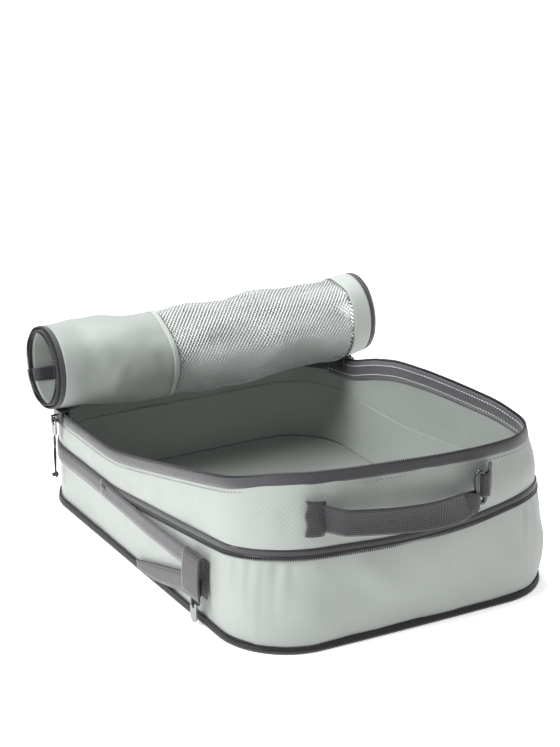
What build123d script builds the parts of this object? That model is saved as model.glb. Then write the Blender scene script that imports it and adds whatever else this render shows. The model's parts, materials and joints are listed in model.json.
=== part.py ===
from build123d import *
import math
import os

# A soft expanding packing cube, open, with its lid rolled up at the back. All sizes are in millimetres.
# Origin: centre of the base on the surface it stands on. +X right, +Y to the hinged back, +Z up.

# Driving dimensions of the bag
WIDTH = 254.0
LENGTH = 356.0
CORNER_RADIUS = 48.0
FRONT_BOW = 6.0
KNEE_Y = 40.0
RIM_FRONT = 130.0
RIM_BACK = 77.0
RIGHT_RIM = [(-170, 128.1), (-130, 120), (-50, 115), (0, 111), (40, 104), (94, 88), (124, 77), (170, 77)]
MID_FRONT = 76.0
MID_BACK = 48.0
ZIP_END_Y = 148.0

# Cloth and tape sizes
TAPE = 0.8
CHAIN_DEPTH = 1.4
CHAIN_HEIGHT = 3.0
TAPE_WIDTH = 10.0
PANEL_THICKNESS = 1.2
PIPING_HEIGHT = 2.4
PIPING_ROUNDING = 0.8
LOWER_TAPE_TOP = 8.2
LOWER_CHAIN_Z = 3.4
MID_CHAIN_DROP = 4.6
WALL_LAP = 4.0
RIM_CHAIN_HEIGHT = 2.0
END_STOP_HEIGHT = 2.2
END_STOP_LENGTH = 3.0
INNER_BINDING_WIDTH = 16.0
HINGE_BINDING_WIDTH = 14.0

# Offsets from the nominal plan, outwards positive, so that the layers nest without touching
GUSSET_IN, GUSSET_OUT = -3.2, -2.4
WALL_IN, WALL_OUT = -1.6, -0.8
BINDING_IN = -2.6
LOW_TAPE_OUT = -1.4
PIPING_OUT = 1.5

# Rolled lid
ROLL_RADIUS = 32.0
ROLL_Y = 147.0
ROLL_CLEARANCE = 4.5
ROLL_HALF = 140.0
SOLID_PANEL_END = -42.0
WINDOW_END = 118.0
LID_TAPE_START = 130.0
LID_CLOTH = 1.0
ROLL_STEP = 2.0
SEAM_BINDING_HALF = 2.0
LID_CHAIN_WIDTH = 1.8
FLAP_SIDE_GAP = 14.0
FLAP_THICKNESS = 1.0
FLAP_LIFT = 0.6

# Front handle
HANDLE_X = -22.0
HANDLE_HALF = 57.0
HANDLE_AXIS_Y = -193.0
HANDLE_REACH = 12.0
HANDLE_Z = 101.0
WEBBING_WIDTH = 20.0
WEBBING = 1.6
TAB_WIDTH = 13.0
TAB_FRONT_Y = -189.0
TAB_LOW, TAB_HIGH = 92.5, 117.5
LEFT_TAB_GAP, RIGHT_TAB_GAP = 2.0, 13.0
RING_WIRE = 3.0
RING_LENGTH = 26.0
RING_WIDTH = 10.0
RING_GAP = 0.6

# Expansion zipper end on the left side
GARAGE_FRONT_Y = -115.0
GARAGE_WIDTH = 25.0
GARAGE_LOW = 22.0
GARAGE_HIGH = 54.0
GARAGE_IN = 2.0
GARAGE_OUT = 8.0
GARAGE_WALL = 1.2
LEAD = 0.6
LOWER_LEAD_OUTLINE = [(-4, 3), (-4, 8), (-89.5, 36), (-89.5, 20), (-42, 3)]
UPPER_LEAD_OUTLINE = [(60, MID_BACK - 10.5), (60, MID_BACK - 6.8), (-89.5, 53), (-89.5, 40)]

# Sliders, pulls and the cord on the left pull
SLIDER_LENGTH = 13.0
SLIDER_HALF_WIDTH = 4.6
SLIDER_Y = 132.0
SLIDER_DROP = 6.0
SLIDER_RISE = 3.8
SLIDER_ROUNDING = 2.0
SLOT_HALF_WIDTH = 2.6
SLOT_RISE = 2.6
ARCH_DROP = 2.4
ARCH_REACH = 4.4
ARCH_WIRE = 1.6
ARCH_LEG = 1.2
ARCH_TOP, ARCH_BOTTOM = 2.8, 3.0
PULL_GAP = 2.2
PULL_LENGTH = 15.0
PULL_WIDTH = 8.0
PULL_THICKNESS = 1.2
EXPANSION_PULL_LENGTH = 17.0
EXPANSION_PULL_WIDTH = 9.0
PARKED_THICKNESS = 3.0
PARKED_HALF = 5.0
PARKED_HEIGHT = 12.0
PARKED_ARCH_DROP = 3.2
NECK_X = 0.3
NECK_HALF = 2.5
NECK_DROP = 7.0
END_BAR = 1.5
EYE_LENGTH = 5.0
EYE_WIDTH = 3.6
CORD_DIAMETER = 2.0
CORD_DROP = 30.0
CORD_GAP = 0.1
KNOT_HEIGHT = 5.0
KNOT_RADIUS = 2.6

FAR = 230.0
TALL = 180.0
HALF_W = WIDTH / 2
HALF_L = LENGTH / 2


def height(front, back, y):
    """Height of a seam line at y: level behind the knee, rising in a straight ramp to the front."""
    return back + max(0.0, KNEE_Y - y) * (front - back) / (KNEE_Y + HALF_L)


def rim(y, side):
    """The slack left side drops behind the knee; the full right side stays up almost to the back."""
    ramp = height(RIM_FRONT, RIM_BACK, y)
    if side < 0:
        return ramp
    for (y0, z0), (y1, z1) in zip(RIGHT_RIM, RIGHT_RIM[1:]):
        if y0 <= y <= y1:
            return z0 + (z1 - z0) * (y - y0) / (y1 - y0)
    return ramp


def mid(y, side):
    return height(MID_FRONT, MID_BACK, y)


def floor(y, side):
    return 0.0


def plan(offset):
    """Rounded base outline with a bowed front, grown by the offset."""
    half_w = HALF_W + offset
    half_l = HALF_L + offset
    left_front, left_back = (-half_w, -half_l), (-half_w, half_l)
    right_back, right_front = (half_w, half_l), (half_w, -half_l)
    with BuildSketch() as sketch:
        with BuildLine():
            Polyline(left_front, left_back, right_back, right_front)
            ThreePointArc(right_front, (0, -half_l - FRONT_BOW), left_front)
        make_face()
        fillet(sketch.vertices(), radius=CORNER_RADIUS + offset)
    return sketch.sketch


def slab(low, low_shift, high, high_shift):
    """All space between two seam lines, each shifted up or down, on both sides of the bag."""
    halves = []
    for side in (-1, 1):
        stations = [-FAR, *(y for y, z in RIGHT_RIM), FAR] if side > 0 else [-FAR, KNEE_Y, FAR]
        lower = [(y, low(y, side) + low_shift) for y in stations]
        upper = [(y, high(y, side) + high_shift) for y in reversed(stations)]
        face = make_face(Plane.YZ * Polyline(*lower, *upper, close=True))
        halves.append(extrude(face, amount=side * FAR))
    return halves[0] + halves[1]


def band(inner, outer, low, low_shift, high, high_shift):
    """A wall or tape that follows the plan between two offsets and two seam lines."""
    ring = extrude(plan(outer) - plan(inner), amount=TALL)
    return ring & slab(low, low_shift, high, high_shift)


def behind(y):
    return Pos(0, y + FAR / 2, TALL / 2) * Box(2 * FAR, FAR, 2 * TALL)


def block(x0, x1, y0, y1, z0, z1):
    centre = Pos((x0 + x1) / 2, (y0 + y1) / 2, (z0 + z1) / 2)
    return centre * Box(x1 - x0, y1 - y0, z1 - z0)


def side_plate(points, x_inner, x_outer):
    """A flat strip lying on the left side, drawn in (y, z)."""
    face = make_face(Plane.YZ * Polyline(*points, close=True))
    return Pos(x_outer, 0, 0) * extrude(face, amount=x_inner - x_outer)


def mirrored(solid):
    return mirror(solid, about=Plane.YZ)


# Base: floor, piping, gusset and the lower half of the expansion zipper

def bottom_panel():
    return extrude(plan(LOW_TAPE_OUT), amount=PANEL_THICKNESS)


def bottom_piping():
    ring = extrude(plan(PIPING_OUT) - plan(LOW_TAPE_OUT), amount=PIPING_HEIGHT)
    upper_edges = ring.edges().group_by(Axis.Z)[-1]
    return fillet(upper_edges, PIPING_ROUNDING)


def expansion_gusset():
    return band(GUSSET_IN, GUSSET_OUT, floor, PANEL_THICKNESS, mid, WALL_LAP)


def lower_expansion_tape():
    return band(GUSSET_OUT, LOW_TAPE_OUT, floor, PANEL_THICKNESS, floor, LOWER_TAPE_TOP)


def lower_expansion_chain():
    outer = LOW_TAPE_OUT + CHAIN_DEPTH
    return band(LOW_TAPE_OUT, outer, floor, LOWER_CHAIN_Z, floor, LOWER_CHAIN_Z + CHAIN_HEIGHT)


def lower_lead_tape():
    low_x = HALF_W + GARAGE_IN
    return side_plate(LOWER_LEAD_OUTLINE, -low_x, -low_x - LEAD)


def garage_tab():
    low_x = HALF_W + GARAGE_IN
    high_x = HALF_W + GARAGE_OUT
    back_y = GARAGE_FRONT_Y + GARAGE_WIDTH
    body = block(-high_x, -low_x, GARAGE_FRONT_Y, back_y, GARAGE_LOW, GARAGE_HIGH)
    pocket_x = (-high_x + GARAGE_WALL, -low_x - GARAGE_WALL)
    pocket = block(*pocket_x, GARAGE_FRONT_Y - 1, back_y + 1, GARAGE_LOW - 1, GARAGE_HIGH - GARAGE_WALL)
    return body - pocket


# Upper compartment: wall, linings, both zipper tapes, hinge strip and handle tabs

def upper_wall():
    return band(WALL_IN, WALL_OUT, mid, -WALL_LAP, rim, 0.0)


def upper_expansion_tape():
    half = TAPE_WIDTH / 2
    return band(WALL_OUT, WALL_OUT + TAPE, mid, -half, mid, half)


def upper_expansion_chain():
    inner = WALL_OUT + TAPE
    return band(inner, inner + CHAIN_DEPTH, mid, -MID_CHAIN_DROP, mid, CHAIN_HEIGHT - MID_CHAIN_DROP)


def upper_lead_tape():
    return side_plate(UPPER_LEAD_OUTLINE, -HALF_W, -HALF_W - LEAD)


def rim_tape():
    return band(WALL_OUT, WALL_OUT + TAPE, rim, -TAPE_WIDTH, rim, 0.0) - behind(ZIP_END_Y)


def rim_chain():
    return band(WALL_IN, WALL_OUT + TAPE, rim, 0.0, rim, RIM_CHAIN_HEIGHT) - behind(ZIP_END_Y)


def inner_binding():
    return band(BINDING_IN, WALL_IN, rim, -INNER_BINDING_WIDTH, rim, 0.0) - behind(ZIP_END_Y)


def hinge_binding():
    return band(BINDING_IN, WALL_IN, rim, -HINGE_BINDING_WIDTH, rim, 0.0) & behind(ZIP_END_Y)


def chain_end_stops():
    """Moulded stops where the open main zipper ends at each back corner."""
    ring = band(WALL_IN, WALL_OUT + TAPE, rim, 0.0, rim, END_STOP_HEIGHT)
    left = ring & block(-FAR, 0, ZIP_END_Y, ZIP_END_Y + END_STOP_LENGTH, 0, TALL)
    return Compound(children=[left, mirrored(left)])


def handle_tab(side):
    """Folded webbing tab sewn to the front wall."""
    gap = RIGHT_TAB_GAP if side > 0 else LEFT_TAB_GAP
    near = HANDLE_X + side * (HANDLE_HALF + gap)
    far = near + side * TAB_WIDTH
    tab = block(min(near, far), max(near, far), TAB_FRONT_Y, -HALF_L, TAB_LOW, TAB_HIGH)
    return tab - extrude(plan(WALL_OUT), amount=TALL)


# Front handle

def handle_strap():
    """Webbing on edge, bowed away from the wall."""
    inner, outer = [
        ThreePointArc((-HANDLE_HALF, y), (0, y - HANDLE_REACH), (HANDLE_HALF, y))
        for y in (HANDLE_AXIS_Y, HANDLE_AXIS_Y - WEBBING)
    ]
    ends = [Line(inner @ end, outer @ end) for end in (0, 1)]
    face = make_face([inner, outer, *ends])
    return Pos(HANDLE_X, 0, HANDLE_Z - WEBBING_WIDTH / 2) * extrude(face, amount=WEBBING_WIDTH)


def handle_ring():
    """Glossy oval ring between the strap and the right-hand tab."""
    outer = SlotOverall(RING_LENGTH, RING_WIDTH)
    inner = SlotOverall(RING_LENGTH - 2 * RING_WIRE, RING_WIDTH - 2 * RING_WIRE)
    face = Plane.XZ * (Rot(0, 0, 90) * (outer - inner))
    ring = extrude(face, amount=RING_WIRE)
    ring_x = HANDLE_X + HANDLE_HALF + RING_GAP + RING_WIDTH / 2
    return Pos(ring_x, HANDLE_AXIS_Y + RING_WIRE / 2, HANDLE_Z) * ring


# Rolled lid

def roll_centre_z():
    return RIM_BACK + ROLL_CLEARANCE + ROLL_RADIUS


def spiral_face(thickness, inset):
    """One and a half turns of cloth in section, as three half circles, each tighter than the last."""
    z = roll_centre_z()
    radii = [ROLL_RADIUS - inset - ROLL_STEP * step for step in range(3)]
    start = ROLL_Y + ROLL_RADIUS - inset
    outer, inner = [], []
    for step, radius in enumerate(radii):
        over = step % 2 == 0
        direction = -1 if over else 1
        end = start + direction * 2 * radius
        centre = (start + end) / 2
        lift = radius if over else -radius
        outer.append(ThreePointArc((start, z), (centre, z + lift), (end, z)))
        small = radius - thickness
        near, far = centre - direction * small, centre + direction * small
        inner.append(ThreePointArc((near, z), (centre, z + math.copysign(small, lift)), (far, z)))
        start = end
    caps = [Line(outer[0] @ 0, inner[0] @ 0), Line(outer[-1] @ 1, inner[-1] @ 1)]
    return make_face([Plane.YZ * edge for edge in (*outer, *inner, *caps)])


def roll_segment(x0, x1, thickness=LID_CLOTH, inset=0.0):
    face = spiral_face(thickness, inset)
    return Pos(x0, 0, 0) * extrude(face, amount=x1 - x0)


def lid_solid_panel():
    return roll_segment(-LID_TAPE_START, SOLID_PANEL_END - SEAM_BINDING_HALF)


def lid_seam_binding():
    return roll_segment(SOLID_PANEL_END - SEAM_BINDING_HALF, SOLID_PANEL_END + SEAM_BINDING_HALF)


def lid_mesh_window():
    return roll_segment(SOLID_PANEL_END + SEAM_BINDING_HALF, WINDOW_END)


def lid_side_border():
    return roll_segment(WINDOW_END, LID_TAPE_START)


def lid_tape(side):
    x0, x1 = LID_TAPE_START, ROLL_HALF - LID_CHAIN_WIDTH
    return roll_segment(x0, x1) if side > 0 else roll_segment(-x1, -x0)


def lid_chain(side):
    x0, x1 = ROLL_HALF - LID_CHAIN_WIDTH, ROLL_HALF
    return roll_segment(x0, x1) if side > 0 else roll_segment(-x1, -x0)


def lid_hinge_flap():
    """Cloth from the back rim up to the roll."""
    outer_y = ROLL_Y + ROLL_RADIUS
    half = HALF_W - FLAP_SIDE_GAP
    return block(-half, half, outer_y - FLAP_THICKNESS, outer_y, RIM_BACK + FLAP_LIFT, roll_centre_z())


# Sliders and their pulls

def arch(x, y, z):
    """Wire arch on a slider's left face: two legs and an outer bar, with the pull's end bar inside."""
    y0, y1 = y - ARCH_WIRE / 2, y + ARCH_WIRE / 2
    top = block(x - ARCH_REACH, x, y0, y1, z + ARCH_TOP - ARCH_LEG, z + ARCH_TOP)
    bottom = block(x - ARCH_REACH, x, y0, y1, z - ARCH_BOTTOM, z - ARCH_BOTTOM + ARCH_LEG)
    bar = block(x - ARCH_REACH, x - ARCH_REACH + ARCH_LEG, y0, y1, z - ARCH_BOTTOM, z + ARCH_TOP)
    return top + bottom + bar


def pull_plate(x, y, z, length, width):
    """Flat pull hanging from its end bar at (x, y, z), with an eye below the bar."""
    eye = Pos(length / 2 - END_BAR - EYE_LENGTH / 2, 0) * SlotOverall(EYE_LENGTH, EYE_WIDTH)
    face = SlotOverall(length, width) - eye
    plate = extrude(Plane.YZ * (Rot(0, 0, 90) * face), amount=PULL_THICKNESS)
    return Pos(x - PULL_THICKNESS / 2, y, z + END_BAR / 2 - length / 2) * plate


def rim_centre():
    return HALF_W + (WALL_IN + WALL_OUT + TAPE) / 2


def arch_z():
    return RIM_BACK - ARCH_DROP


def left_pull_x():
    return -rim_centre() - SLIDER_HALF_WIDTH - PULL_GAP


def left_slider():
    """Saddle that straddles the rim: two flanges, a bridge over the chain and an arch for the pull."""
    x = -rim_centre()
    low, high = RIM_BACK - SLIDER_DROP, RIM_BACK + SLIDER_RISE
    front, back = SLIDER_Y - SLIDER_LENGTH / 2, SLIDER_Y + SLIDER_LENGTH / 2
    body = block(x - SLIDER_HALF_WIDTH, x + SLIDER_HALF_WIDTH, front, back, low, high)
    body = fillet(body.edges().filter_by(Axis.Z), SLIDER_ROUNDING)
    slot_x = (x - SLOT_HALF_WIDTH, x + SLOT_HALF_WIDTH)
    slot = block(*slot_x, front - 1, back + 1, low - 1, RIM_BACK + SLOT_RISE)
    return (body - slot) + arch(x - SLIDER_HALF_WIDTH, SLIDER_Y, arch_z())


def left_pull():
    return pull_plate(left_pull_x(), SLIDER_Y, arch_z(), PULL_LENGTH, PULL_WIDTH)


def cord_top():
    return arch_z() + END_BAR / 2 - PULL_LENGTH - CORD_GAP


def left_pull_cord():
    """Doubled cord hanging from the left pull, as one plain tube."""
    return Pos(left_pull_x(), SLIDER_Y, cord_top() - CORD_DROP / 2) * Cylinder(CORD_DIAMETER / 2, CORD_DROP)


def left_pull_knot():
    knot_z = cord_top() - CORD_DROP - KNOT_HEIGHT / 2
    return Pos(left_pull_x(), SLIDER_Y, knot_z) * Cylinder(KNOT_RADIUS, KNOT_HEIGHT)


def garage_x():
    return -HALF_W - (GARAGE_IN + GARAGE_OUT) / 2


def garage_y():
    return GARAGE_FRONT_Y + GARAGE_WIDTH / 2


def expansion_slider():
    """Slider parked in the tab, with a neck and an arch below the tab's mouth."""
    x, y = garage_x(), garage_y()
    half = PARKED_THICKNESS / 2
    low = GARAGE_LOW + 1
    body = block(x - half, x + half, y - PARKED_HALF, y + PARKED_HALF, low, low + PARKED_HEIGHT)
    neck = block(x + NECK_X, x + half, y - NECK_HALF, y + NECK_HALF, GARAGE_LOW - NECK_DROP, low)
    return body + neck + arch(x + NECK_X, y, GARAGE_LOW - PARKED_ARCH_DROP)


def expansion_pull():
    x = garage_x() + NECK_X - PULL_GAP
    z = GARAGE_LOW - PARKED_ARCH_DROP
    return pull_plate(x, garage_y(), z, EXPANSION_PULL_LENGTH, EXPANSION_PULL_WIDTH)


PARTS = {
    "bottom_panel": bottom_panel(),
    "bottom_piping": bottom_piping(),
    "expansion_gusset": expansion_gusset(),
    "lower_expansion_tape": lower_expansion_tape(),
    "lower_expansion_chain": lower_expansion_chain(),
    "lower_lead_tape": lower_lead_tape(),
    "garage_tab": garage_tab(),
    "upper_wall": upper_wall(),
    "upper_expansion_tape": upper_expansion_tape(),
    "upper_expansion_chain": upper_expansion_chain(),
    "upper_lead_tape": upper_lead_tape(),
    "rim_tape": rim_tape(),
    "rim_chain": rim_chain(),
    "inner_binding": inner_binding(),
    "hinge_binding": hinge_binding(),
    "chain_end_stops": chain_end_stops(),
    "handle_tab_left": handle_tab(-1),
    "handle_tab_right": handle_tab(1),
    "handle_strap": handle_strap(),
    "handle_ring": handle_ring(),
    "lid_hinge_flap": lid_hinge_flap(),
    "lid_solid_panel": lid_solid_panel(),
    "lid_seam_binding": lid_seam_binding(),
    "lid_mesh_window": lid_mesh_window(),
    "lid_side_border": lid_side_border(),
    "lid_tape_left": lid_tape(-1),
    "lid_tape_right": lid_tape(1),
    "lid_chain_left": lid_chain(-1),
    "lid_chain_right": lid_chain(1),
    "left_slider": left_slider(),
    "right_slider": mirrored(left_slider()),
    "left_pull": left_pull(),
    "right_pull": mirrored(left_pull()),
    "left_pull_cord": left_pull_cord(),
    "left_pull_knot": left_pull_knot(),
    "expansion_slider": expansion_slider(),
    "expansion_pull": expansion_pull(),
}

os.makedirs("parts", exist_ok=True)
for name, shape in PARTS.items():
    export_step(shape, f"parts/{name}.step")
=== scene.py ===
import json
import math

import bpy
import numpy as np
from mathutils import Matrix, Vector, noise


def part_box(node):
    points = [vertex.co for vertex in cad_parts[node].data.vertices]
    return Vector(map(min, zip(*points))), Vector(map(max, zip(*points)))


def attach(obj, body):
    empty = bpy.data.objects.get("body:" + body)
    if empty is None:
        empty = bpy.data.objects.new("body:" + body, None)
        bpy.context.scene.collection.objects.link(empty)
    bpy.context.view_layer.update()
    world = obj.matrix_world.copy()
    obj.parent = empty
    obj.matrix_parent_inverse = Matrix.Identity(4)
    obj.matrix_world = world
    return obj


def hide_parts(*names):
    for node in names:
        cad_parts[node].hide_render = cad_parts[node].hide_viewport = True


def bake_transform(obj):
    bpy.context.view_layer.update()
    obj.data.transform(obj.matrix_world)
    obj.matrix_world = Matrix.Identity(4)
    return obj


# A packing cube in metres: +X right, +Y to the hinged back, +Z up. The soft pieces, the zipper coils and
# the handle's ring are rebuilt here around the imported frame. The sliders, pulls and chain end stops keep
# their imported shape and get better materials.

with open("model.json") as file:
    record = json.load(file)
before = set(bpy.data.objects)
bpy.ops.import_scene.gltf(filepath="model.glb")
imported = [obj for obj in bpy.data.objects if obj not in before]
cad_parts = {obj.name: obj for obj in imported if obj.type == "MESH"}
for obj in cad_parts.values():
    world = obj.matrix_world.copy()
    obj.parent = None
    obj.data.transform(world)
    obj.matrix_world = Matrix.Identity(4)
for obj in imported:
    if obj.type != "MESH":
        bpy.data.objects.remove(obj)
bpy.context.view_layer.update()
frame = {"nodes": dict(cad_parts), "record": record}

# ------------ sizes

WALL_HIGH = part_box("upper_wall")[1]
WALL_INSET = 0.0008
WALL_LAP = 0.004
WALL_TOP_GAP = 0.0004
HALF_W = WALL_HIGH[0] + WALL_INSET
HALF_L = WALL_HIGH[1] + WALL_INSET
BASE_BOW = 0.002
CORNER = 0.050
KNEE_Y = 0.040
KNEE_SOFTNESS = 0.012
RIM_BACK, RIM_FRONT = 0.077, 0.130
MID_BACK, MID_FRONT = 0.048, 0.076
RIGHT_RIM = ((-0.170, 0.128), (-0.130, 0.120), (-0.050, 0.115), (0.0, 0.111), (0.040, 0.104),
             (0.094, 0.088), (0.120, 0.077), (0.170, 0.077))
ZIP_END_Y = 0.148
STATIONS = 900

ROLL_Y, ROLL_Z = 0.147, 0.1105
ROLL_SHIFT = 0.006
ROLL_RADIUS = 0.032
ROLL_TIGHTENING = 0.0029
ROLL_TURNS = 1.95
ROLL_HALF = 0.140
SEAM_X = -0.043
WINDOW_END_X = 0.118
TAPE_START_X = 0.1340

CLOTH = 0.0007
TAPE = 0.0008
BINDING = 0.0006
WEBBING = 0.0016
NET_PITCH = 0.0031
NET_HALF_WIDTH, NET_HALF_DEPTH = 0.00060, 0.00020
STRAP_DROP = 0.0080
TAB_LOWER = 0.0055

# Lower and upper edges of tapes and bindings, measured from the seam line that they follow.
LOWER_TAPE = (0.0016, 0.0062)
UPPER_TAPE = (-0.0044, 0.0026)
RIM_TAPE = (-0.0072, 0.0002)
INNER_BINDING = (-0.0155, 0.0002)
HINGE_BINDING = (-0.0135, 0.0002)
BACK_STRIP_TOP = 0.0022
BACK_STRIP_LOW = -0.0036
BACK_STRIP_WIDENING = 0.0076
BACK_STRIP_START = int(0.062 * STATIONS)

# Zipper teeth and stitches: half lengths along the seam, across it and outwards.
TOOTH = (0.00055, 0.0014, 0.0007)
RIM_TOOTH = (0.00055, 0.0013, 0.0009)
LID_TOOTH = (0.00055, 0.0014, 0.0009)
TOOTH_PITCH = 0.0016
COIL_CORD = (0.0006, 0.0006)
INNER_STITCH = (0.0013, 0.0004, 0.0003)
RIM_STITCH = (0.0012, 0.0004, 0.0004)

# How far below the top of the gusset its puckers begin, and how far down they reach.
PUCKER_START = 0.0068
PUCKER_REACH = 0.020


# ------------ materials

def node_tools(material):
    """A material's nodes and links, and a function that adds a math node and gives its output."""
    nodes = material.node_tree.nodes
    links = material.node_tree.links

    def math_node(kind, a, b=None):
        node = nodes.new("ShaderNodeMath")
        node.operation = kind
        for socket, value in zip(node.inputs, (a, b)):
            if value is None:
                continue
            if isinstance(value, (int, float)):
                socket.default_value = value
            else:
                links.new(value, socket)
        return node.outputs[0]

    return nodes, links, math_node


def base_material(name, color, roughness, metallic=0.0, sheen=0.0, coat=0.0):
    """A new material and its shader."""
    material = bpy.data.materials.new(name)
    material.use_nodes = True
    shader = material.node_tree.nodes["Principled BSDF"]
    shader.inputs["Base Color"].default_value = (*color, 1)
    shader.inputs["Roughness"].default_value = roughness
    shader.inputs["Metallic"].default_value = metallic
    shader.inputs["Sheen Weight"].default_value = sheen
    shader.inputs["Sheen Roughness"].default_value = 0.4
    shader.inputs["Coat Weight"].default_value = coat
    return material, shader


def clouds(material, scale, detail=2):
    """Noise in the object's own space."""
    nodes, links, _ = node_tools(material)
    place = nodes.new("ShaderNodeTexCoord")
    cloud = nodes.new("ShaderNodeTexNoise")
    cloud.inputs["Scale"].default_value = scale
    cloud.inputs["Detail"].default_value = detail
    links.new(place.outputs["Object"], cloud.inputs["Vector"])
    return cloud.outputs["Fac"]


def mottle(material, shader, color, spread, scale):
    """Slow colour change over the cloth, so that no area is one flat colour."""
    nodes, links, _ = node_tools(material)
    ramp = nodes.new("ShaderNodeValToRGB")
    for element, factor, at in zip(ramp.color_ramp.elements, (1 - spread, 1 + spread), (0.3, 0.7)):
        element.color = (*[min(1.0, c * factor) for c in color], 1)
        element.position = at
    links.new(clouds(material, scale, 4), ramp.inputs["Fac"])
    links.new(ramp.outputs["Color"], shader.inputs["Base Color"])
    return ramp


def cloth_uv(material):
    """The two distances along the cloth, in metres."""
    nodes, links, _ = node_tools(material)
    uv = nodes.new("ShaderNodeUVMap")
    uv.uv_map = "cloth"
    split = nodes.new("ShaderNodeSeparateXYZ")
    links.new(uv.outputs["UV"], split.inputs[0])
    return split.outputs[0], split.outputs[1]


def wave(math_node, value, pitch):
    """A sine wave of a pitch in metres."""
    return math_node("SINE", math_node("MULTIPLY", value, 2 * math.pi / pitch))


def add_bump(material, shader, height, strength, distance):
    nodes, links, _ = node_tools(material)
    bump = nodes.new("ShaderNodeBump")
    bump.inputs["Strength"].default_value = strength
    bump.inputs["Distance"].default_value = distance
    links.new(height, bump.inputs["Height"])
    links.new(bump.outputs["Normal"], shader.inputs["Normal"])


def woven(name, color, roughness, pitch, depth, sheen=0.3, spread=0.05, diagonal=False, weave_shade=0.0):
    """Woven cloth: over-and-under threads, straight or diagonal, with a mottled colour and optional painted
    shade darkening the low cells of the weave.
    """
    material, shader = base_material(name, color, roughness, sheen=sheen)
    ramp = mottle(material, shader, color, spread, 26)
    nodes, links, math_node = node_tools(material)
    u, v = cloth_uv(material)
    if diagonal:
        u, v = math_node("ADD", u, v), math_node("SUBTRACT", u, v)
    threads = math_node("MULTIPLY", wave(math_node, u, pitch), wave(math_node, v, pitch))
    height = math_node("MULTIPLY_ADD", threads, 0.5)
    height.node.inputs[2].default_value = 0.5
    add_bump(material, shader, height, 0.8, depth)
    # Painted shade: the colour is darkened where the weave dips, in place of the shade that falls between
    # the threads.
    if weave_shade:
        darker = nodes.new("ShaderNodeMixRGB")
        darker.blend_type = "MULTIPLY"
        darker.inputs["Color2"].default_value = (1 - weave_shade,) * 3 + (1,)
        flip = math_node("SUBTRACT", 1.0, height)
        links.new(flip, darker.inputs["Fac"])
        links.new(ramp.outputs["Color"], darker.inputs["Color1"])
        links.new(darker.outputs["Color"], shader.inputs["Base Color"])
    return material


def ripstop(name, color, roughness):
    """Thin cloth with a fine diamond grid of raised threads over a tight weave, with a painted highlight
    that lightens the raised threads.
    """
    material, shader = base_material(name, color, roughness, sheen=0.25)
    ramp = mottle(material, shader, color, 0.03, 18)
    nodes, links, math_node = node_tools(material)
    u, v = cloth_uv(material)
    across = math_node("ADD", u, v)
    down = math_node("SUBTRACT", u, v)
    diamond, thread = 0.0038, 0.0007
    grid = math_node("MAXIMUM", wave(math_node, across, diamond), wave(math_node, down, diamond))
    ridge = math_node("POWER", math_node("MAXIMUM", grid, 0.0), 5.0)
    weave = math_node("MULTIPLY", wave(math_node, u, thread), wave(math_node, v, thread))
    height = math_node("MULTIPLY_ADD", weave, 0.12)
    links.new(ridge, height.node.inputs[2])
    add_bump(material, shader, height, 0.7, 0.00022)
    # Painted highlight: the colour is lightened by a tenth on the raised grid threads, where they catch the
    # light.
    ridge_highlight = nodes.new("ShaderNodeMixRGB")
    ridge_highlight.blend_type = "MULTIPLY"
    ridge_highlight.inputs["Color2"].default_value = (1.10, 1.10, 1.10, 1)
    links.new(ridge, ridge_highlight.inputs["Fac"])
    links.new(ramp.outputs["Color"], ridge_highlight.inputs["Color1"])
    links.new(ridge_highlight.outputs["Color"], shader.inputs["Base Color"])
    return material


def satin(name, color):
    """Smooth lining cloth with a soft lustre and faint crinkles."""
    material, shader = base_material(name, color, 0.58, sheen=0.30)
    mottle(material, shader, color, 0.03, 14)
    nodes, links, math_node = node_tools(material)
    u, v = cloth_uv(material)
    thread = 0.0009
    weave = math_node("MULTIPLY", wave(math_node, u, thread), wave(math_node, v, thread))
    height = math_node("MULTIPLY_ADD", weave, 0.05)
    links.new(clouds(material, 55, 5), height.node.inputs[2])
    add_bump(material, shader, height, 0.5, 0.0006)
    return material


def solid(name, color, roughness, metallic=0.0, coat=0.0, grain=0.0001):
    """Metal or moulded plastic with a faint uneven surface."""
    material, shader = base_material(name, color, roughness, metallic, coat=coat)
    add_bump(material, shader, clouds(material, 900), 0.3, grain)
    return material


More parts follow.
